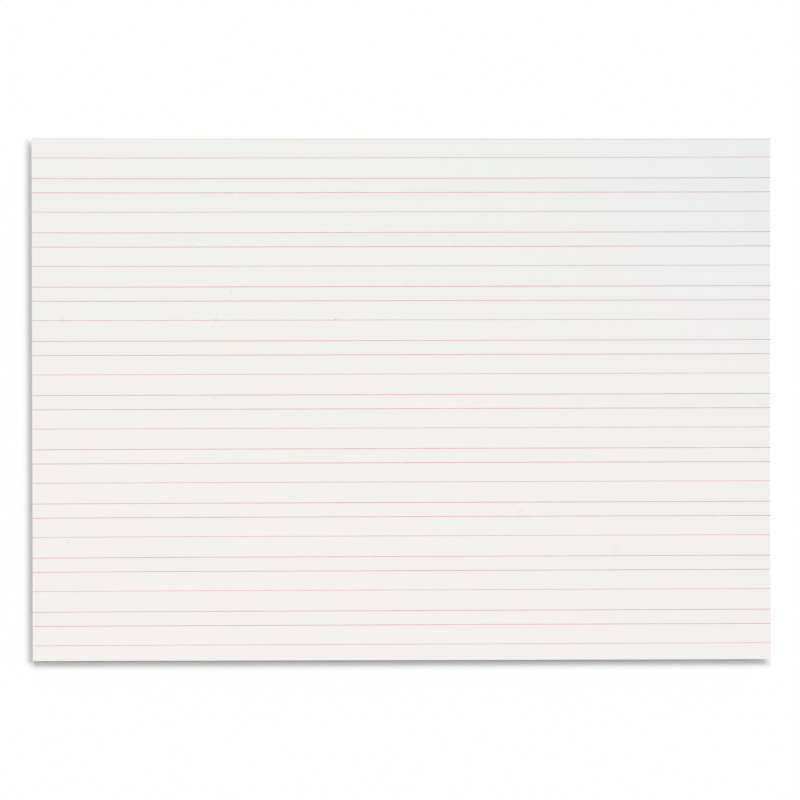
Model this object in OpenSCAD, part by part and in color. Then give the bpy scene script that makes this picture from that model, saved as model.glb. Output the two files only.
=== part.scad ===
// A loose landscape sheet of double-lined handwriting paper, as it comes to rest on a table.
// X runs along the ruled lines, Y points to the head of the page, and Z points out of the ruled
// face. The origin is on the table, under the middle of the sheet. Most of the sheet lies flat,
// and its left and foot edges curl up a little, as loose paper does.

/* [Sheet] */
// Length of the long edges, which the lines run along
sheet_length = 297; // [148:0.5:420]
// Length of the short edges, from the foot of the page to its head
sheet_width = 210; // [105:0.5:297]
// Thickness of the paper, an uncoated 80 g/m2 writing grade
sheet_thickness = 0.1; // [0.06:0.01:0.3]

/* [Curl] */
// Height of the left and foot edges over the table
curl_lift = 1.8; // [0.2:0.1:5]
// Width of the band along those edges that curls up
curl_width = 60; // [15:1:90]

/* [Ruling] */
// Distance from the head edge down to the first dividing line
head_margin = 7.85; // [2:0.05:30]
// Space over a pair of lines, for tall letters, measured from the dividing line
ascender_space = 8.3; // [3:0.05:15]
// Space between the two lines of a pair, which holds the small letters
body_space = 5.7; // [2:0.05:12]
// Space under a pair of lines, for letters with tails, down to the next dividing line
descender_space = 7.75; // [3:0.05:15]
// Turn of the printing against the trimmed edges, in degrees, as the lines climb to the right
print_skew = 0.1; // [-0.5:0.05:0.5]

/* [Ink] */
// Width of the two lines of each pair
pair_line = 0.25; // [0.15:0.01:0.6]
// Width of the finer dividing lines between the writing rows
dividing_line = 0.18; // [0.1:0.01:0.5]
// Height that the printed ink stands over the paper
ink_film = 0.02; // [0.005:0.005:0.05]

/* [Hidden] */
paper_white = "#F3F1EE";
ruling_pink = "#E2AAB8";
// Facets across each band that curls
curl_steps = 8;
row_height = ascender_space + body_space + descender_space;
row_count = floor((sheet_width - head_margin) / row_height);
first_line_y = sheet_width / 2 - head_margin;
// The lines are drawn past both side edges, so that they still reach them when the print is turned
bleed_length = norm([sheet_length, sheet_width]);
highest_paper = curl_lift + sheet_thickness;

// Places along one side of the sheet where its facets meet: close together over the band that
// curls, and then none up to the far edge
function facet_stations(side) = [
    for (step = [0 : curl_steps]) curl_width * step / curl_steps - side / 2,
    side / 2
];

// How far the paper has risen at some distance from an edge: 1 at the edge, 0 on the flat part
function rise(distance) = pow(max(0, 1 - distance / curl_width), 2);

// Height of the paper's back over the table, with both edges and their corner equally high
function back_height(x, y) =
    let (left = rise(x + sheet_length / 2), foot = rise(y + sheet_width / 2))
    curl_lift * (left + foot - left * foot);

// The whole sheet, raised by some height: a net of points for the back, a like net over it for
// the face, and the cut edges between them
module paper(raised = 0) {
    xs = facet_stations(sheet_length);
    ys = facet_stations(sheet_width);
    columns = len(xs) - 1;
    rows = len(ys) - 1;
    net = [for (y = ys) for (x = xs) [x, y, back_height(x, y) + raised]];
    face_net = [for (point = net) point + [0, 0, sheet_thickness]];

    function at(column, row) = row * (columns + 1) + column;
    function over(corners) = [for (corner = corners) corner + len(net)];

    // Two facets for each mesh of the net, turning clockwise as seen from below
    facets = [
        for (row = [0 : rows - 1])
            for (column = [0 : columns - 1])
                let (
                    near_left = at(column, row),
                    near_right = at(column + 1, row),
                    far_right = at(column + 1, row + 1),
                    far_left = at(column, row + 1)
                )
                each [[near_left, near_right, far_right], [near_left, far_right, far_left]]
    ];
    // The net's own edge, turning anticlockwise as seen from above
    border = concat(
        [for (column = [0 : columns - 1]) at(column, 0)],
        [for (row = [0 : rows - 1]) at(columns, row)],
        [for (column = [columns : -1 : 1]) at(column, rows)],
        [for (row = [rows : -1 : 1]) at(0, row)]
    );
    cut_edges = [
        for (i = [0 : len(border) - 1])
            let (here = border[i], next = border[(i + 1) % len(border)])
            [next, here, each over([here, next])]
    ];
    polyhedron(
        concat(net, face_net),
        concat(facets, [for (facet = facets) over([facet[2], facet[1], facet[0]])], cut_edges)
    );
}

// One ruled line of a given width, a given distance below the first dividing line
module ruled_line(depth, line_width) {
    translate([0, first_line_y - depth])
        square([bleed_length, line_width], center = true);
}

// Ink of the lines that are its children, turned as printed: a film on the paper's face
module printed_ink() {
    intersection() {
        difference() {
            paper(raised = ink_film);
            paper();
        }
        linear_extrude(highest_paper + ink_film)
            rotate(print_skew) children();
    }
}

module sheet() {
    color(paper_white) paper();
}

// The two lines in each writing row that the small letters stand between
module pair_lines() {
    color(ruling_pink)
        printed_ink()
            for (row = [0 : row_count - 1]) {
                upper_depth = row * row_height + ascender_space;
                ruled_line(upper_depth, pair_line);
                ruled_line(upper_depth + body_space, pair_line);
            }
}

// The finer lines that part the rows, one over each row and one that closes the last
module dividing_lines() {
    color(ruling_pink)
        printed_ink()
            for (row = [0 : row_count])
                ruled_line(row * row_height, dividing_line);
}

sheet();
pair_lines();
dividing_lines();
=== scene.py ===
"""A loose landscape sheet of double-lined handwriting paper, lying on a white table.

The CAD sheet and its two groups of ruled lines are replaced by finer ones of the same size and
form: paper with a slight cockle and a curl along its left and foot edges, and ink that follows it.
"""

import math

import bpy
from mathutils import Matrix, Vector


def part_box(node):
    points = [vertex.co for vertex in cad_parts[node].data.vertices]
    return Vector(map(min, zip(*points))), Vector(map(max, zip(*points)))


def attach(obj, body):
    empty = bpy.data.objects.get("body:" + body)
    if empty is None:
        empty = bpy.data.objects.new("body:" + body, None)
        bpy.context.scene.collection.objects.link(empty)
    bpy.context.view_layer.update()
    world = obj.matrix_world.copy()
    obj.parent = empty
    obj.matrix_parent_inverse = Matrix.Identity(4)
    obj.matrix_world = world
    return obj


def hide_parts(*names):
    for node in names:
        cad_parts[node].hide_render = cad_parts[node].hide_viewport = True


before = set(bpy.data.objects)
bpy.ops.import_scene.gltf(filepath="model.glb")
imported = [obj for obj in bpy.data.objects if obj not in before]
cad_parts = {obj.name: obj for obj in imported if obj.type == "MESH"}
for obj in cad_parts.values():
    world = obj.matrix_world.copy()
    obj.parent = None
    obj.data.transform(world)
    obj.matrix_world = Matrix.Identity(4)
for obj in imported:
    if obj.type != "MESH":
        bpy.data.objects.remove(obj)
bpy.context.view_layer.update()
sheet_low, sheet_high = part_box("sheet")

bl_info = {
    "name": "Double-lined Paper",
    "version": (1, 0, 0),
    "blender": (4, 5, 0),
    "location": "View3D > Sidebar > Ruled Paper",
    "description": "Makes a loose sheet of double-lined handwriting paper and the table it lies on",
    "category": "Add Mesh",
}

MM = 0.001

# Flecks of bark and smudges on this sheet's face, in millimetres from its middle. Each has its
# place, its width and the share of it that is the fleck's own colour
FLECKS = (
    ((-69.0, 42.9), 0.45, 0.5),
    ((-26.8, 32.05), 0.45, 0.75),
    ((-74.9, 31.9), 1.8, 0.1),
    ((-136.4, 31.7), 2.4, 0.06),
    ((-75.5, 0.6), 1.3, 0.09),
    ((47.5, -45.1), 2.2, 0.055),
    ((-134.3, -57.5), 2.3, 0.055),
    ((86.2, -61.3), 4.2, 0.03),
)

# Open fibre, printed or not, mirrors less light than the smooth surface that 0.5 stands for
FIBRE_SPECULAR = 0.3


def linear(hex_colour):
    """An opaque colour written as sRGB hex, such as #F4F2EF, in the linear values of Blender."""
    channels = [int(hex_colour[i : i + 2], 16) / 255 for i in (1, 3, 5)]
    return [c / 12.92 if c <= 0.04045 else ((c + 0.055) / 1.055) ** 2.4 for c in channels] + [1.0]


def length_property(name, description, default):
    return bpy.props.FloatProperty(
        name=name, description=description, default=default, min=0, unit="LENGTH", precision=5
    )


def angle_property(name, description, degrees):
    return bpy.props.FloatProperty(
        name=name, description=description, default=math.radians(degrees), unit="ROTATION"
    )


def share_property(name, description, default):
    return bpy.props.FloatProperty(
        name=name, description=description, default=default, min=0, max=1, subtype="FACTOR"
    )


def colour_property(name, description, hex_colour):
    return bpy.props.FloatVectorProperty(
        name=name,
        description=description,
        default=linear(hex_colour),
        size=4,
        subtype="COLOR",
        min=0,
        max=1,
    )


class SheetSizes(bpy.types.PropertyGroup):
    """The trimmed sheet and how it lies."""

    length: length_property("Length", "Long edges, along the lines", sheet_high.x - sheet_low.x)
    width: length_property("Width", "Short edges, from foot to head", sheet_high.y - sheet_low.y)
    thickness: length_property("Thickness", "Of 80 g/m2 writing paper", 0.1 * MM)
    curl_width: length_property("Curl width", "Band along an edge that curls up", 60 * MM)
    right_lift: length_property("Right lift", "Height of the right edge over the table", 0.3 * MM)
    right_band: length_property("Right band", "Band along the right edge that rises", 25 * MM)
    cockle_height: length_property("Cockle height", "Highest wave in the flat part", 0.16 * MM)
    cockle_spacing: length_property("Cockle spacing", "From one wave to the next", 75 * MM)
    net_spacing: length_property("Net spacing", "Between points of the sheet's mesh", 2 * MM)
    hairline_inset: length_property("Hairline inset", "Head edge to the knife's mark", 0.55 * MM)
    # The hairline is a line of painted shade just inside the head edge
    hairline_width: length_property("Hairline width", "Of the knife's mark", 0.4 * MM)
    foot_left: colour_property("Foot left", "The paper from its middle to that corner", "#F6F2EF")
    foot_right: colour_property("Foot right", "The paper at that corner", "#F4F1F0")
    # Towards the head the paper is greyer: painted shade for the light falling off there
    head_left: colour_property("Head left", "The paper along the left of its head", "#F1F1ED")
    head_right: colour_property("Head right", "The paper at that corner", "#EEEEEF")
    # Painted shade over the curled bands, which the lamps light more than the flat paper
    left_slope_shade: colour_property("Left slope shade", "Over the band that slopes to the left", "#FCFBFC")
    foot_slope_shade: colour_property("Foot slope shade", "Over the band that slopes to the foot", "#FBFAFB")
    rosy_tint: colour_property("Rosy tint", "Over the rosier patches of the paper", "#FFFEFE")
    green_tint: colour_property("Green tint", "Over the greener patches of the paper", "#FDFFFE")
    fleck: colour_property("Fleck", "Bark and dust in the paper", "#4A463F")


class RulingSizes(bpy.types.PropertyGroup):
    """The printed lines."""

    head_margin: length_property("Head margin", "Head edge to first dividing line", 7.85 * MM)
    ascender_space: length_property("Ascender space", "Dividing line to a pair", 8.3 * MM)
    body_space: length_property("Body space", "Between the lines of a pair", 5.7 * MM)
    descender_space: length_property("Descender space", "Pair to dividing line", 7.75 * MM)
    rows: bpy.props.IntProperty(name="Rows", description="Writing rows", default=9, min=1)
    skew: angle_property("Skew", "Turn of the print against the trimmed edges", 0.1)
    pair_line: length_property("Pair line", "Width of each line of a pair", 0.25 * MM)
    dividing_line: length_property("Dividing line", "Width of the finer lines", 0.18 * MM)
    ink_film: length_property("Ink film", "Height of the ink over the paper", 0.02 * MM)
    rose: colour_property("Rose", "The ink where it is pinkest", "#E5A1B2")
    dusky: colour_property("Dusky rose", "The ink where it is greyest", "#D0A6B3")
    bare: colour_property("Bare paper", "The paper that shows where the ink is thin", "#F3EFEC")


class StageSizes(bpy.types.PropertyGroup):
    """The table, the lamps and the camera."""

    table_side: length_property("Table side", "Each side of the square table", 12.0)
    camera_place: bpy.props.FloatVectorProperty(
        name="Camera place",
        description="Where the camera stands over the sheet",
        default=(-8.8 * MM, 5.35 * MM, 760.8 * MM),
        subtype="XYZ_LENGTH",
    )
    camera_turn: bpy.props.FloatVectorProperty(
        name="Camera turn",
        description="Its turns from looking straight down with the head of the page up",
        default=[math.radians(angle) for angle in (-0.43, -0.591, -0.066)],
        subtype="EULER",
    )
    lens: bpy.props.FloatProperty(
        name="Lens", description="Focal length in millimetres", default=85, unit="CAMERA"
    )
    lamps: bpy.props.IntProperty(name="Lamps", description="In the fan of lamps", default=3, min=1)
    lamp_azimuth: angle_property("Lamp azimuth", "Fan's middle, from the right to the head", 54)
    lamp_spacing: angle_property("Lamp spacing", "From each lamp of the fan to the next", 38)
    lamp_elevation: angle_property("Lamp elevation", "Height of the lamps over the table", 31.5)
    lamp_breadth: angle_property("Lamp breadth", "How broad each looks from the table", 20)
    lamp_share: share_property("Lamp share", "Share of the table's light from the fan", 0.68)
    table_white: colour_property("Table white", "The table's colour", "#FEFEFE")


class RuledPaper(bpy.types.PropertyGroup):
    """All that can be set: the sheet, its ruling and the stage."""

    sheet: bpy.props.PointerProperty(type=SheetSizes)
    ruling: bpy.props.PointerProperty(type=RulingSizes)
    stage: bpy.props.PointerProperty(type=StageSizes)


# Materials


def add_node(tree, kind, inputs=None, **settings):
    """Adds a node with its own settings, and fills its inputs.

    An input is given a value, another node's socket, or another node, whose result it takes.
    """
    node = tree.nodes.new(kind)
    for name, value in settings.items():
        setattr(node, name, value)
    for name, value in (inputs or {}).items():
        if isinstance(value, bpy.types.Node):
            value = next(socket for socket in value.outputs if socket.enabled)
        if isinstance(value, bpy.types.NodeSocket):
            tree.links.new(value, node.inputs[name])
        else:
            node.inputs[name].default_value = value
    return node


def empty_material(name):
    """A material with no nodes yet, and its node tree."""
    material = bpy.data.materials.new(name)
    material.use_nodes = True
    material.node_tree.nodes.clear()
    return material, material.node_tree


def grain(tree, place, size, turn=0.0, detail=2.0):
    """Noise whose grains are size millimetres long and wide, turned by some degrees."""
    length, width = size
    laid = add_node(
        tree,
        "ShaderNodeMapping",
        {
            "Vector": place,
            "Rotation": (0, 0, math.radians(turn)),
            "Scale": (length * MM, width * MM, width * MM),
        },
        vector_type="TEXTURE",
    )
    return add_node(tree, "ShaderNodeTexNoise", {"Vector": laid, "Scale": 1, "Detail": detail})


def mottle(tree, place, size, span, most=1.0, turn=0.0, detail=2.0):
    """Patches that run from 0 to most, as the grain runs over the span of its values."""
    low, high = span
    return add_node(
        tree,
        "ShaderNodeMapRange",
        {
            "Value": grain(tree, place, size, turn, detail),
            "From Min": low,
            "From Max": high,
            "To Max": most,
        },
        interpolation_type="SMOOTHSTEP",
    )


def corner_tones(tree, apart, sizes):
    """The paper's white, which greys towards the head and cools towards the right edge. The grey
    towards the head is painted shade, for the light falling off there.

    Both changes start short of the middle, by a tenth of the length and a fifth of the width, and
    run up to the edges.
    """
    to_right, to_head = [
        add_node(
            tree,
            "ShaderNodeMapRange",
            {"Value": way, "From Min": -short * side, "From Max": side / 2},
            interpolation_type="SMOOTHSTEP",
        )
        for way, side, short in ((apart["X"], sizes.length, 0.1), (apart["Y"], sizes.width, 0.2))
    ]
    at_foot, at_head = [
        add_node(
            tree, "ShaderNodeMix", {"Factor": to_right, "A": left, "B": right}, data_type="RGBA"
        )
        for left, right in (
            (sizes.foot_left, sizes.foot_right),
            (sizes.head_left, sizes.head_right),
        )
    ]
    return add_node(
        tree, "ShaderNodeMix", {"Factor": to_head, "A": at_foot, "B": at_head}, data_type="RGBA"
    )


def painted_slope_shade(tree, apart, tone, sizes):
    """The tone, with painted shade where the curled bands slope: greyer there, to take off the
    extra light that the lamps throw on those slopes.

    A band's slope falls evenly from its edge inwards. At the corner between the two bands the
    paper is level again, and as unshaded as the rest.
    """
    left, foot = [
        add_node(
            tree,
            "ShaderNodeMapRange",
            {
                "Value": way,
                "From Min": -side / 2,
                "From Max": sizes.curl_width - side / 2,
                "To Min": 1.0,
                "To Max": 0.0,
            },
        )
        for way, side in ((apart["X"], sizes.length), (apart["Y"], sizes.width))
    ]
    # Painted shade over each sloping band, for the lamps' extra light there
    for near, other, dust in ((left, foot, sizes.left_slope_shade), (foot, left, sizes.foot_slope_shade)):
        risen = add_node(tree, "ShaderNodeMath", {0: other, 1: other}, operation="MULTIPLY")
        unrisen = add_node(tree, "ShaderNodeMath", {0: 1.0, 1: risen}, operation="SUBTRACT")
        slope = add_node(tree, "ShaderNodeMath", {0: near, 1: unrisen}, operation="MULTIPLY")
        tone = add_node(
            tree,
            "ShaderNodeMix",
            {"Factor": slope, "A": tone, "B": dust},
            data_type="RGBA",
            blend_type="MULTIPLY",
        )
    return tone


def felt_fibres(tree, place):
    """Fibres from 0 to 1, lying mostly along the sheet, the way that the paper machine ran.

    Real ones are 0.03 mm thick. They are drawn 0.35 mm wide, to show at all from over the sheet.
    """
    drawn_width = 0.35
    rising, falling = [
        mottle(tree, place, (length, drawn_width), span=(0.66, 0.76), turn=turn, detail=0)
        for length, turn in ((3.2, 14), (2.6, -31))
    ]
    return add_node(tree, "ShaderNodeMath", {0: rising, 1: falling}, operation="MAXIMUM")


def head_edge_shade(tree, apart, sizes):
    """Painted shade: the share of light taken off a hairline just inside the head edge, a dark line
    that stands in for the shade at the cut edge.

    It strengthens from 120 mm left of the sheet's middle up to there.
    """
    on_line = add_node(
        tree,
        "ShaderNodeMath",
        {0: apart["Y"], 1: sizes.width / 2 - sizes.hairline_inset, 2: sizes.hairline_width / 2},
        operation="COMPARE",
    )
    edge_shade_strength = add_node(
        tree,
        "ShaderNodeMapRange",
        {"Value": apart["X"], "From Min": -120 * MM, "From Max": 0, "To Min": 0.05, "To Max": 0.17},
        interpolation_type="SMOOTHSTEP",
    )
    return add_node(tree, "ShaderNodeMath", {0: on_line, 1: edge_shade_strength}, operation="MULTIPLY")


def bark_flecks(tree, place):
    """The flecks and smudges, from 0 on clean paper to the share of each that is its own colour.

    They keep to their places whatever the height of the paper there. Their edges are ragged by
    0.2 mm either way, because torn bark and fibre have no clean outline.
    """
    tear_size, tear_reach = 0.3 * MM, 0.4 * MM
    flat = add_node(tree, "ShaderNodeVectorMath", {0: place, 1: (1, 1, 0)}, operation="MULTIPLY")
    tears = add_node(
        tree, "ShaderNodeTexNoise", {"Vector": flat, "Scale": 1 / tear_size, "Detail": 1}
    )
    either_way = add_node(
        tree,
        "ShaderNodeVectorMath",
        {0: tears.outputs["Color"], 1: (0.5, 0.5, 0.5)},
        operation="SUBTRACT",
    )
    torn = add_node(
        tree,
        "ShaderNodeVectorMath",
        {0: either_way, 1: (tear_reach, tear_reach, 0), 2: flat},
        operation="MULTIPLY_ADD",
    )
    dirt = 0.0
    for (x, y), width, strength in FLECKS:
        away = add_node(
            tree, "ShaderNodeVectorMath", {0: torn, 1: (x * MM, y * MM, 0)}, operation="DISTANCE"
        )
        core, rim = 0.2 * width * MM, 0.65 * width * MM
        spot = add_node(
            tree,
            "ShaderNodeMapRange",
            {"Value": away, "From Min": core, "From Max": rim, "To Min": strength, "To Max": 0.0},
            interpolation_type="SMOOTHSTEP",
        )
        dirt = add_node(tree, "ShaderNodeMath", {0: dirt, 1: spot}, operation="MAXIMUM")
    return dirt


def uncoated_paper(sizes):
    """Uncoated wood-free writing paper, pressed from a felt of short fibres and left unglazed.

    It is a matt warm white. Close to, it is cloudy where the felt is thicker and thinner, with
    fibres and rare flecks of bark.
    """
    material, tree = empty_material("uncoated_writing_paper")
    place = add_node(tree, "ShaderNodeTexCoord").outputs["Object"]
    apart = add_node(tree, "ShaderNodeSeparateXYZ", {"Vector": place}).outputs
    tone = corner_tones(tree, apart, sizes)
    tone = painted_slope_shade(tree, apart, tone, sizes)

    # Patches 20 mm across that are a trace rosier or greener, where the pulp took its dye unevenly
    patches = mottle(tree, place, (22, 15), span=(0.36, 0.64))
    hue = add_node(
        tree,
        "ShaderNodeMix",
        {"Factor": patches, "A": sizes.green_tint, "B": sizes.rosy_tint},
        data_type="RGBA",
    )
    tone = add_node(tree, "ShaderNodeVectorMath", {0: tone, 1: hue}, operation="MULTIPLY")

    # Formation: clouds 5 mm across where the felt of fibres is thicker and so more opaque
    clouds = mottle(tree, place, (6, 4.5), span=(0.3, 0.7), detail=3)
    shade = add_node(tree, "ShaderNodeMix", {"Factor": clouds, "A": 0.99, "B": 1.0})
    fibres = felt_fibres(tree, place)
    fibre_shade = add_node(
        tree,
        "ShaderNodeMapRange",
        {"Value": fibres, "To Min": 1.0, "To Max": 0.982},
        interpolation_type="SMOOTHSTEP",
    )
    shade = add_node(tree, "ShaderNodeMath", {0: shade, 1: fibre_shade}, operation="MULTIPLY")
    tone = add_node(tree, "ShaderNodeVectorMath", {0: tone, "Scale": shade}, operation="SCALE")

    # The painted shade line at the head edge and the flecks mark the ruled face alone, and not the
    # back
    facing = add_node(tree, "ShaderNodeNewGeometry").outputs["Normal"]
    upward = add_node(tree, "ShaderNodeSeparateXYZ", {"Vector": facing}).outputs["Z"]
    on_face = add_node(tree, "ShaderNodeMath", {0: upward, 1: 0.0}, operation="GREATER_THAN")
    lost, dirt = [
        add_node(tree, "ShaderNodeMath", {0: mark, 1: on_face}, operation="MULTIPLY")
        for mark in (head_edge_shade(tree, apart, sizes), bark_flecks(tree, place))
    ]
    kept = add_node(tree, "ShaderNodeMath", {0: 1.0, 1: lost}, operation="SUBTRACT")
    tone = add_node(tree, "ShaderNodeVectorMath", {0: tone, "Scale": kept}, operation="SCALE")
    tone = add_node(
        tree, "ShaderNodeMix", {"Factor": dirt, "A": tone, "B": sizes.fleck}, data_type="RGBA"
    )

    # The tooth that a pen feels: a felt mark every 0.9 mm, with the fibres standing on it
    felt_marks = grain(tree, place, (0.9, 0.9))
    tooth = add_node(
        tree, "ShaderNodeMath", {0: fibres, 1: 0.4, 2: felt_marks}, operation="MULTIPLY_ADD"
    )
    bump = add_node(
        tree, "ShaderNodeBump", {"Height": tooth, "Strength": 0.5, "Distance": 0.01 * MM}
    )

    # Unglazed fibre is rough all over, and a trace smoother where the felt was pressed thinner
    roughness = add_node(tree, "ShaderNodeMix", {"Factor": clouds, "A": 0.86, "B": 0.95})
    shader = add_node(
        tree,
        "ShaderNodeBsdfPrincipled",
        {
            "Base Color": tone,
            "Roughness": roughness,
            "Specular IOR Level": FIBRE_SPECULAR,
            "Normal": bump,
        },
    )
    add_node(tree, "ShaderNodeOutputMaterial", {"Surface": shader})
    return material


def ruling_ink(sizes):
    """Thin offset ink that has sunk into uncoated paper, so it is nearly as matt as the paper.

    It runs from pink to a greyer rose along each line, and pales where the paper took less of it.
    """
    material, tree = empty_material("offset_ruling_ink")
    place = add_node(tree, "ShaderNodeTexCoord").outputs["Object"]

    # The rollers carry more or less ink in turn, over 25 mm along a line and line by line
    greyness = mottle(tree, place, (26, 5), span=(0.38, 0.62))
    ink = add_node(
        tree,
        "ShaderNodeMix",
        {"Factor": greyness, "A": sizes.rose, "B": sizes.dusky},
        data_type="RGBA",
    )

    # It skips a millimetre or so where the tooth of the paper kept the plate off, and runs thin
    # over longer stretches
    palest = 0.35
    skips = mottle(tree, place, (1.4, 0.5), span=(0.55, 0.75), most=palest)
    thin = mottle(tree, place, (14, 3), span=(0.5, 0.75), most=0.25)
    paleness = add_node(tree, "ShaderNodeMath", {0: skips, 1: thin}, operation="MAXIMUM")
    tone = add_node(
        tree, "ShaderNodeMix", {"Factor": paleness, "A": ink, "B": sizes.bare}, data_type="RGBA"
    )
    roughness = add_node(
        tree,
        "ShaderNodeMapRange",
        {"Value": paleness, "From Max": palest, "To Min": 0.8, "To Max": 0.9},
        interpolation_type="SMOOTHSTEP",
    )
    shader = add_node(
        tree,
        "ShaderNodeBsdfPrincipled",
        {"Base Color": tone, "Roughness": roughness, "Specular IOR Level": FIBRE_SPECULAR},
    )
    add_node(tree, "ShaderNodeOutputMaterial", {"Surface": shader})
    return material


def matt_laminate(sizes):
    """Matt white laminate, plain, so that nothing but the sheet's shadow shows on it."""
    material, tree = empty_material("matt_white_laminate")
    shader = add_node(
        tree,
        "ShaderNodeBsdfPrincipled",
        {"Base Color": sizes.table_white, "Roughness": 1.0, "Specular IOR Level": 0.0},
    )
    add_node(tree, "ShaderNodeOutputMaterial", {"Surface": shader})
    return material


# Modelling


def start_clean():
    """Leaves nothing selected, because the operators act on all that is."""
    bpy.ops.object.select_all(action="DESELECT")


def added(name):
    """Names the primitive that was just added, and opens it to be shaped."""
    piece = bpy.context.object
    piece.name = piece.data.name = name
    bpy.ops.object.mode_set(mode="EDIT")
    return piece


def finish_modifier(piece, name, kind, **settings):
    """Adds a modifier with its settings and applies it."""
    modifier = piece.modifiers.new(name, kind)
    for setting, value in settings.items():
        setattr(modifier, setting, value)
    bpy.ops.object.modifier_apply(modifier=modifier.name)


def select_points(piece, chosen):
    """In edit mode, selects the points whose places pass a test, and no others."""
    bpy.ops.mesh.select_mode(type="VERT")
    bpy.ops.mesh.select_all(action="DESELECT")
    bpy.ops.object.mode_set(mode="OBJECT")
    for point in piece.data.vertices:
        point.select = chosen(point.co)
    bpy.ops.object.mode_set(mode="EDIT")


def dress(piece, node, material):
    """Puts a finished piece in the CAD node's place, with its finish."""
    piece.data.materials.clear()
    piece.data.materials.append(material)
    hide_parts(node)
    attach(piece, "root")


def lift_edge(height, band):
    """In edit mode, brings the selected edge to a height, and the band beside it on a parabola.

    Flattening onto that height, and not raising by it, leaves a corner where two lifted edges
    meet no higher than the edges are.
    """
    bpy.ops.transform.resize(
        value=(1, 1, 0),
        center_override=(0, 0, height),
        use_proportional_edit=True,
        proportional_edit_falloff="SHARP",
        proportional_size=band,
    )


class RULEDPAPER_OT_sheet(bpy.types.Operator):
    """Make the sheet: a net of points, curled along two edges, cockled and given its thickness"""

    bl_idname = "ruledpaper.sheet"
    bl_label = "Sheet"

    def execute(self, context):
        sizes = context.scene.ruled_paper.sheet
        start_clean()
        bpy.ops.mesh.primitive_grid_add(
            x_subdivisions=round(sizes.length / sizes.net_spacing),
            y_subdivisions=round(sizes.width / sizes.net_spacing),
            size=1,
        )
        sheet = added("paper_sheet")
        bpy.ops.transform.resize(value=(sizes.length, sizes.width, 1))
        bpy.ops.object.mode_set(mode="OBJECT")
        waves = bpy.data.textures.new("cockle", "CLOUDS")
        waves.noise_scale = sizes.cockle_spacing
        waves.noise_depth = 0
        finish_modifier(
            sheet,
            "cockle",
            "DISPLACE",
            texture=waves,
            texture_coords="LOCAL",
            direction="Z",
            strength=sizes.cockle_height,
            mid_level=0,
        )

        # The lowest wave comes to rest on the table, and the edges rise from there
        lowest = min(point.co.z for point in sheet.data.vertices)
        bpy.ops.object.mode_set(mode="EDIT")
        bpy.ops.transform.translate(value=(0, 0, -lowest))
        left, right, foot = -sizes.length / 2, sizes.length / 2, -sizes.width / 2
        hair = sizes.net_spacing / 4
        curl_lift = sheet_high.z - sizes.thickness
        select_points(sheet, lambda place: place.x > right - hair)
        lift_edge(sizes.right_lift, sizes.right_band)
        select_points(sheet, lambda place: place.x < left + hair)
        lift_edge(curl_lift, sizes.curl_width)
        select_points(sheet, lambda place: place.y < foot + hair)
        lift_edge(curl_lift, sizes.curl_width)
        bpy.ops.object.mode_set(mode="OBJECT")
        finish_modifier(sheet, "paper", "SOLIDIFY", thickness=sizes.thickness, offset=1)

        # Smooth over the curl, and sharp where the knife cut
        sharpest_curl = math.radians(30)
        bpy.ops.object.shade_smooth_by_angle(angle=sharpest_curl)
        dress(sheet, "sheet", uncoated_paper(sizes))
        return {"FINISHED"}


def rule_lines(context, name, node, depths, rows, line_width):
    """Prints one kind of line in all its rows, at some depths below the first dividing line."""
    sheet_sizes = context.scene.ruled_paper.sheet
    ruling = context.scene.ruled_paper.ruling
    row_height = ruling.ascender_space + ruling.body_space + ruling.descender_space
    drawn_length = 1.02 * sheet_sizes.length  # past both edges, where they are then cut off
    overhead = 5 * MM  # the lines are drawn at this height, and then drop onto the paper
    start_clean()
    strips = []
    for depth in depths:
        bpy.ops.mesh.primitive_grid_add(
            x_subdivisions=round(sheet_sizes.length / sheet_sizes.net_spacing),
            y_subdivisions=1,
            size=1,
        )
        strip = added(name)
        bpy.ops.transform.resize(value=(drawn_length, line_width, 1))
        bpy.ops.transform.translate(
            value=(0, sheet_sizes.width / 2 - ruling.head_margin - depth, overhead)
        )
        bpy.ops.object.mode_set(mode="OBJECT")
        finish_modifier(
            strip,
            "rows",
            "ARRAY",
            count=rows,
            use_relative_offset=False,
            use_constant_offset=True,
            constant_offset_displace=(0, -row_height, 0),
        )
        strips.append(strip)
    for strip in strips:
        strip.select_set(True)
    lines = strips[0]
    context.view_layer.objects.active = lines
    if len(strips) > 1:
        bpy.ops.object.join()

    # The print is askew by a little. With no window, the turn goes the other way round
    bpy.ops.object.mode_set(mode="EDIT")
    bpy.ops.mesh.select_all(action="SELECT")
    bpy.ops.transform.rotate(value=-ruling.skew, orient_axis="Z", center_override=(0, 0, 0))

    # Cut off with the sheet's two short edges, a hair inside them so that all of it is on paper
    hair = 0.01 * MM
    end = sheet_sizes.length / 2 - hair
    for side in (-1, 1):
        bpy.ops.mesh.select_all(action="SELECT")
        bpy.ops.mesh.bisect(
            plane_co=(side * end, 0, 0), plane_no=(side, 0, 0), clear_outer=True, clear_inner=False
        )
    bpy.ops.object.mode_set(mode="OBJECT")
    finish_modifier(
        lines,
        "onto_paper",
        "SHRINKWRAP",
        target=bpy.data.objects["paper_sheet"],
        wrap_method="PROJECT",
        use_project_z=True,
        use_negative_direction=True,
        use_positive_direction=False,
    )
    finish_modifier(lines, "ink", "SOLIDIFY", thickness=ruling.ink_film, offset=1)
    ink = bpy.data.materials.get("offset_ruling_ink") or ruling_ink(ruling)
    dress(lines, node, ink)


class RULEDPAPER_OT_pair_lines(bpy.types.Operator):
    """Rule the two lines of each writing row that the small letters stand between"""

    bl_idname = "ruledpaper.pair_lines"
    bl_label = "Pair lines"

    def execute(self, context):
        ruling = context.scene.ruled_paper.ruling
        upper = ruling.ascender_space
        depths = (upper, upper + ruling.body_space)
        rule_lines(context, "paired_rulings", "pair_lines", depths, ruling.rows, ruling.pair_line)
        return {"FINISHED"}


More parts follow.
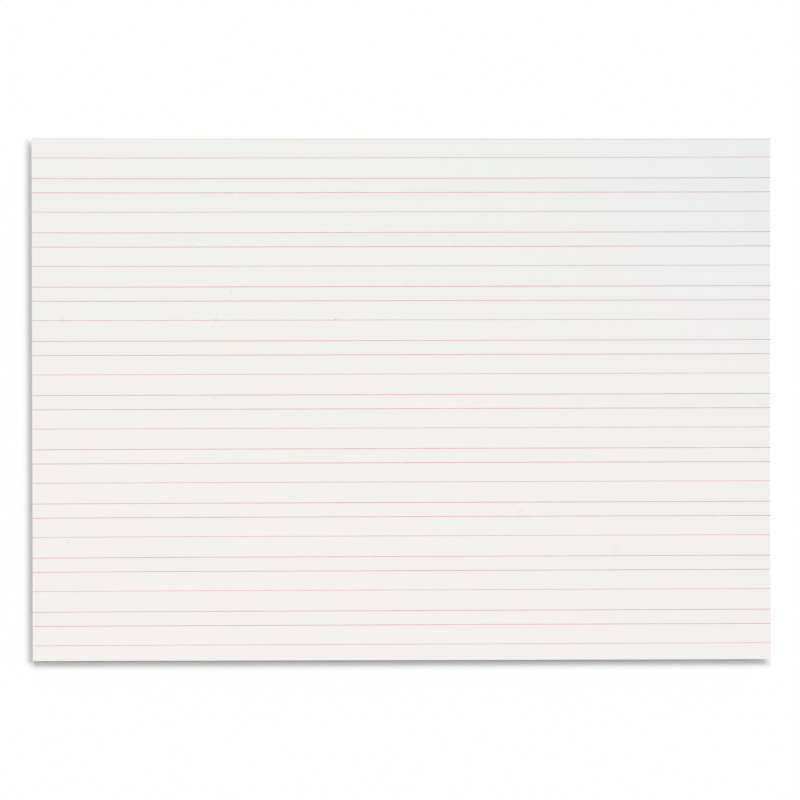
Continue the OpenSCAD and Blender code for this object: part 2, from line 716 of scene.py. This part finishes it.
class RULEDPAPER_OT_dividing_lines(bpy.types.Operator):
    """Rule the finer lines that part the writing rows, one over each and one under the last"""

    bl_idname = "ruledpaper.dividing_lines"
    bl_label = "Dividing lines"

    def execute(self, context):
        ruling = context.scene.ruled_paper.ruling
        rows = ruling.rows + 1
        rule_lines(context, "row_rulings", "dividing_lines", (0,), rows, ruling.dividing_line)
        return {"FINISHED"}


class RULEDPAPER_OT_stage(bpy.types.Operator):
    """Set the table, the lamps, the light all round and the camera"""

    bl_idname = "ruledpaper.stage"
    bl_label = "Stage"

    def execute(self, context):
        sizes = context.scene.ruled_paper.stage
        scene = context.scene
        start_clean()
        bpy.ops.mesh.primitive_plane_add(size=sizes.table_side)
        table = context.object
        table.name = "table_top"
        table.data.materials.append(matt_laminate(sizes))

        # A fan of soft lamps at the upper right, as a row of windows gives: it throws a shadow
        # beside the left and foot edges, and leaves none beside the other two
        height = math.sin(sizes.lamp_elevation)
        for i in range(sizes.lamps):
            lamp = bpy.data.lights.new("window", "SUN")
            lamp.angle = sizes.lamp_breadth
            lamp.energy = sizes.lamp_share / sizes.lamps * math.pi / height
            turn = sizes.lamp_azimuth + (i - (sizes.lamps - 1) / 2) * sizes.lamp_spacing
            way = Vector((math.cos(sizes.lamp_elevation), 0, height))
            way.rotate(Matrix.Rotation(turn, 3, "Z"))
            lamp_object = bpy.data.objects.new("window", lamp)
            lamp_object.rotation_euler = way.to_track_quat("Z", "Y").to_euler()
            scene.collection.objects.link(lamp_object)

        # The room lights evenly, and shows as plain white where it is looked at
        world = bpy.data.worlds.new("white_room")
        world.use_nodes = True
        tree = world.node_tree
        tree.nodes.clear()
        rays = add_node(tree, "ShaderNodeLightPath").outputs
        seen = rays["Is Camera Ray"]
        for ray in ("Is Glossy Ray", "Is Transmission Ray"):
            seen = add_node(tree, "ShaderNodeMath", {0: seen, 1: rays[ray]}, operation="MAXIMUM")
        fill, backdrop = [
            add_node(
                tree, "ShaderNodeBackground", {"Color": linear("#FFFFFF"), "Strength": strength}
            )
            for strength in (1 - sizes.lamp_share, 1.0)
        ]
        mix = add_node(tree, "ShaderNodeMixShader", {"Fac": seen, 1: fill, 2: backdrop})
        add_node(tree, "ShaderNodeOutputWorld", {"Surface": mix})
        scene.world = world

        camera = bpy.data.cameras.new("overhead_camera")
        camera.lens = sizes.lens
        camera_object = bpy.data.objects.new("overhead_camera", camera)
        camera_object.location = sizes.camera_place
        camera_object.rotation_euler = sizes.camera_turn
        scene.collection.objects.link(camera_object)
        scene.camera = camera_object

        scene.view_settings.view_transform = "Standard"
        return {"FINISHED"}


class RULEDPAPER_PT_sidebar(bpy.types.Panel):
    """Lists the pieces and their sizes"""

    bl_label = "Ruled Paper"
    bl_space_type = "VIEW_3D"
    bl_region_type = "UI"
    bl_category = "Ruled Paper"

    def draw(self, context):
        for group, operators in PANEL_BOXES:
            sizes = getattr(context.scene.ruled_paper, group)
            box = self.layout.box()
            for operator in operators:
                box.operator(operator.bl_idname)
            for name in sizes.__annotations__:
                box.prop(sizes, name)


PANEL_BOXES = (
    ("stage", (RULEDPAPER_OT_stage,)),
    ("sheet", (RULEDPAPER_OT_sheet,)),
    ("ruling", (RULEDPAPER_OT_pair_lines, RULEDPAPER_OT_dividing_lines)),
)
CLASSES = (
    SheetSizes,
    RulingSizes,
    StageSizes,
    RuledPaper,
    RULEDPAPER_OT_stage,
    RULEDPAPER_OT_sheet,
    RULEDPAPER_OT_pair_lines,
    RULEDPAPER_OT_dividing_lines,
    RULEDPAPER_PT_sidebar,
)


def register():
    for cls in CLASSES:
        bpy.utils.register_class(cls)
    bpy.types.Scene.ruled_paper = bpy.props.PointerProperty(type=RuledPaper)


def unregister():
    del bpy.types.Scene.ruled_paper
    for cls in reversed(CLASSES):
        bpy.utils.unregister_class(cls)


def main():
    register()
    bpy.ops.ruledpaper.stage()
    bpy.ops.ruledpaper.sheet()
    bpy.ops.ruledpaper.pair_lines()
    bpy.ops.ruledpaper.dividing_lines()


if __name__ == "__main__":
    main()
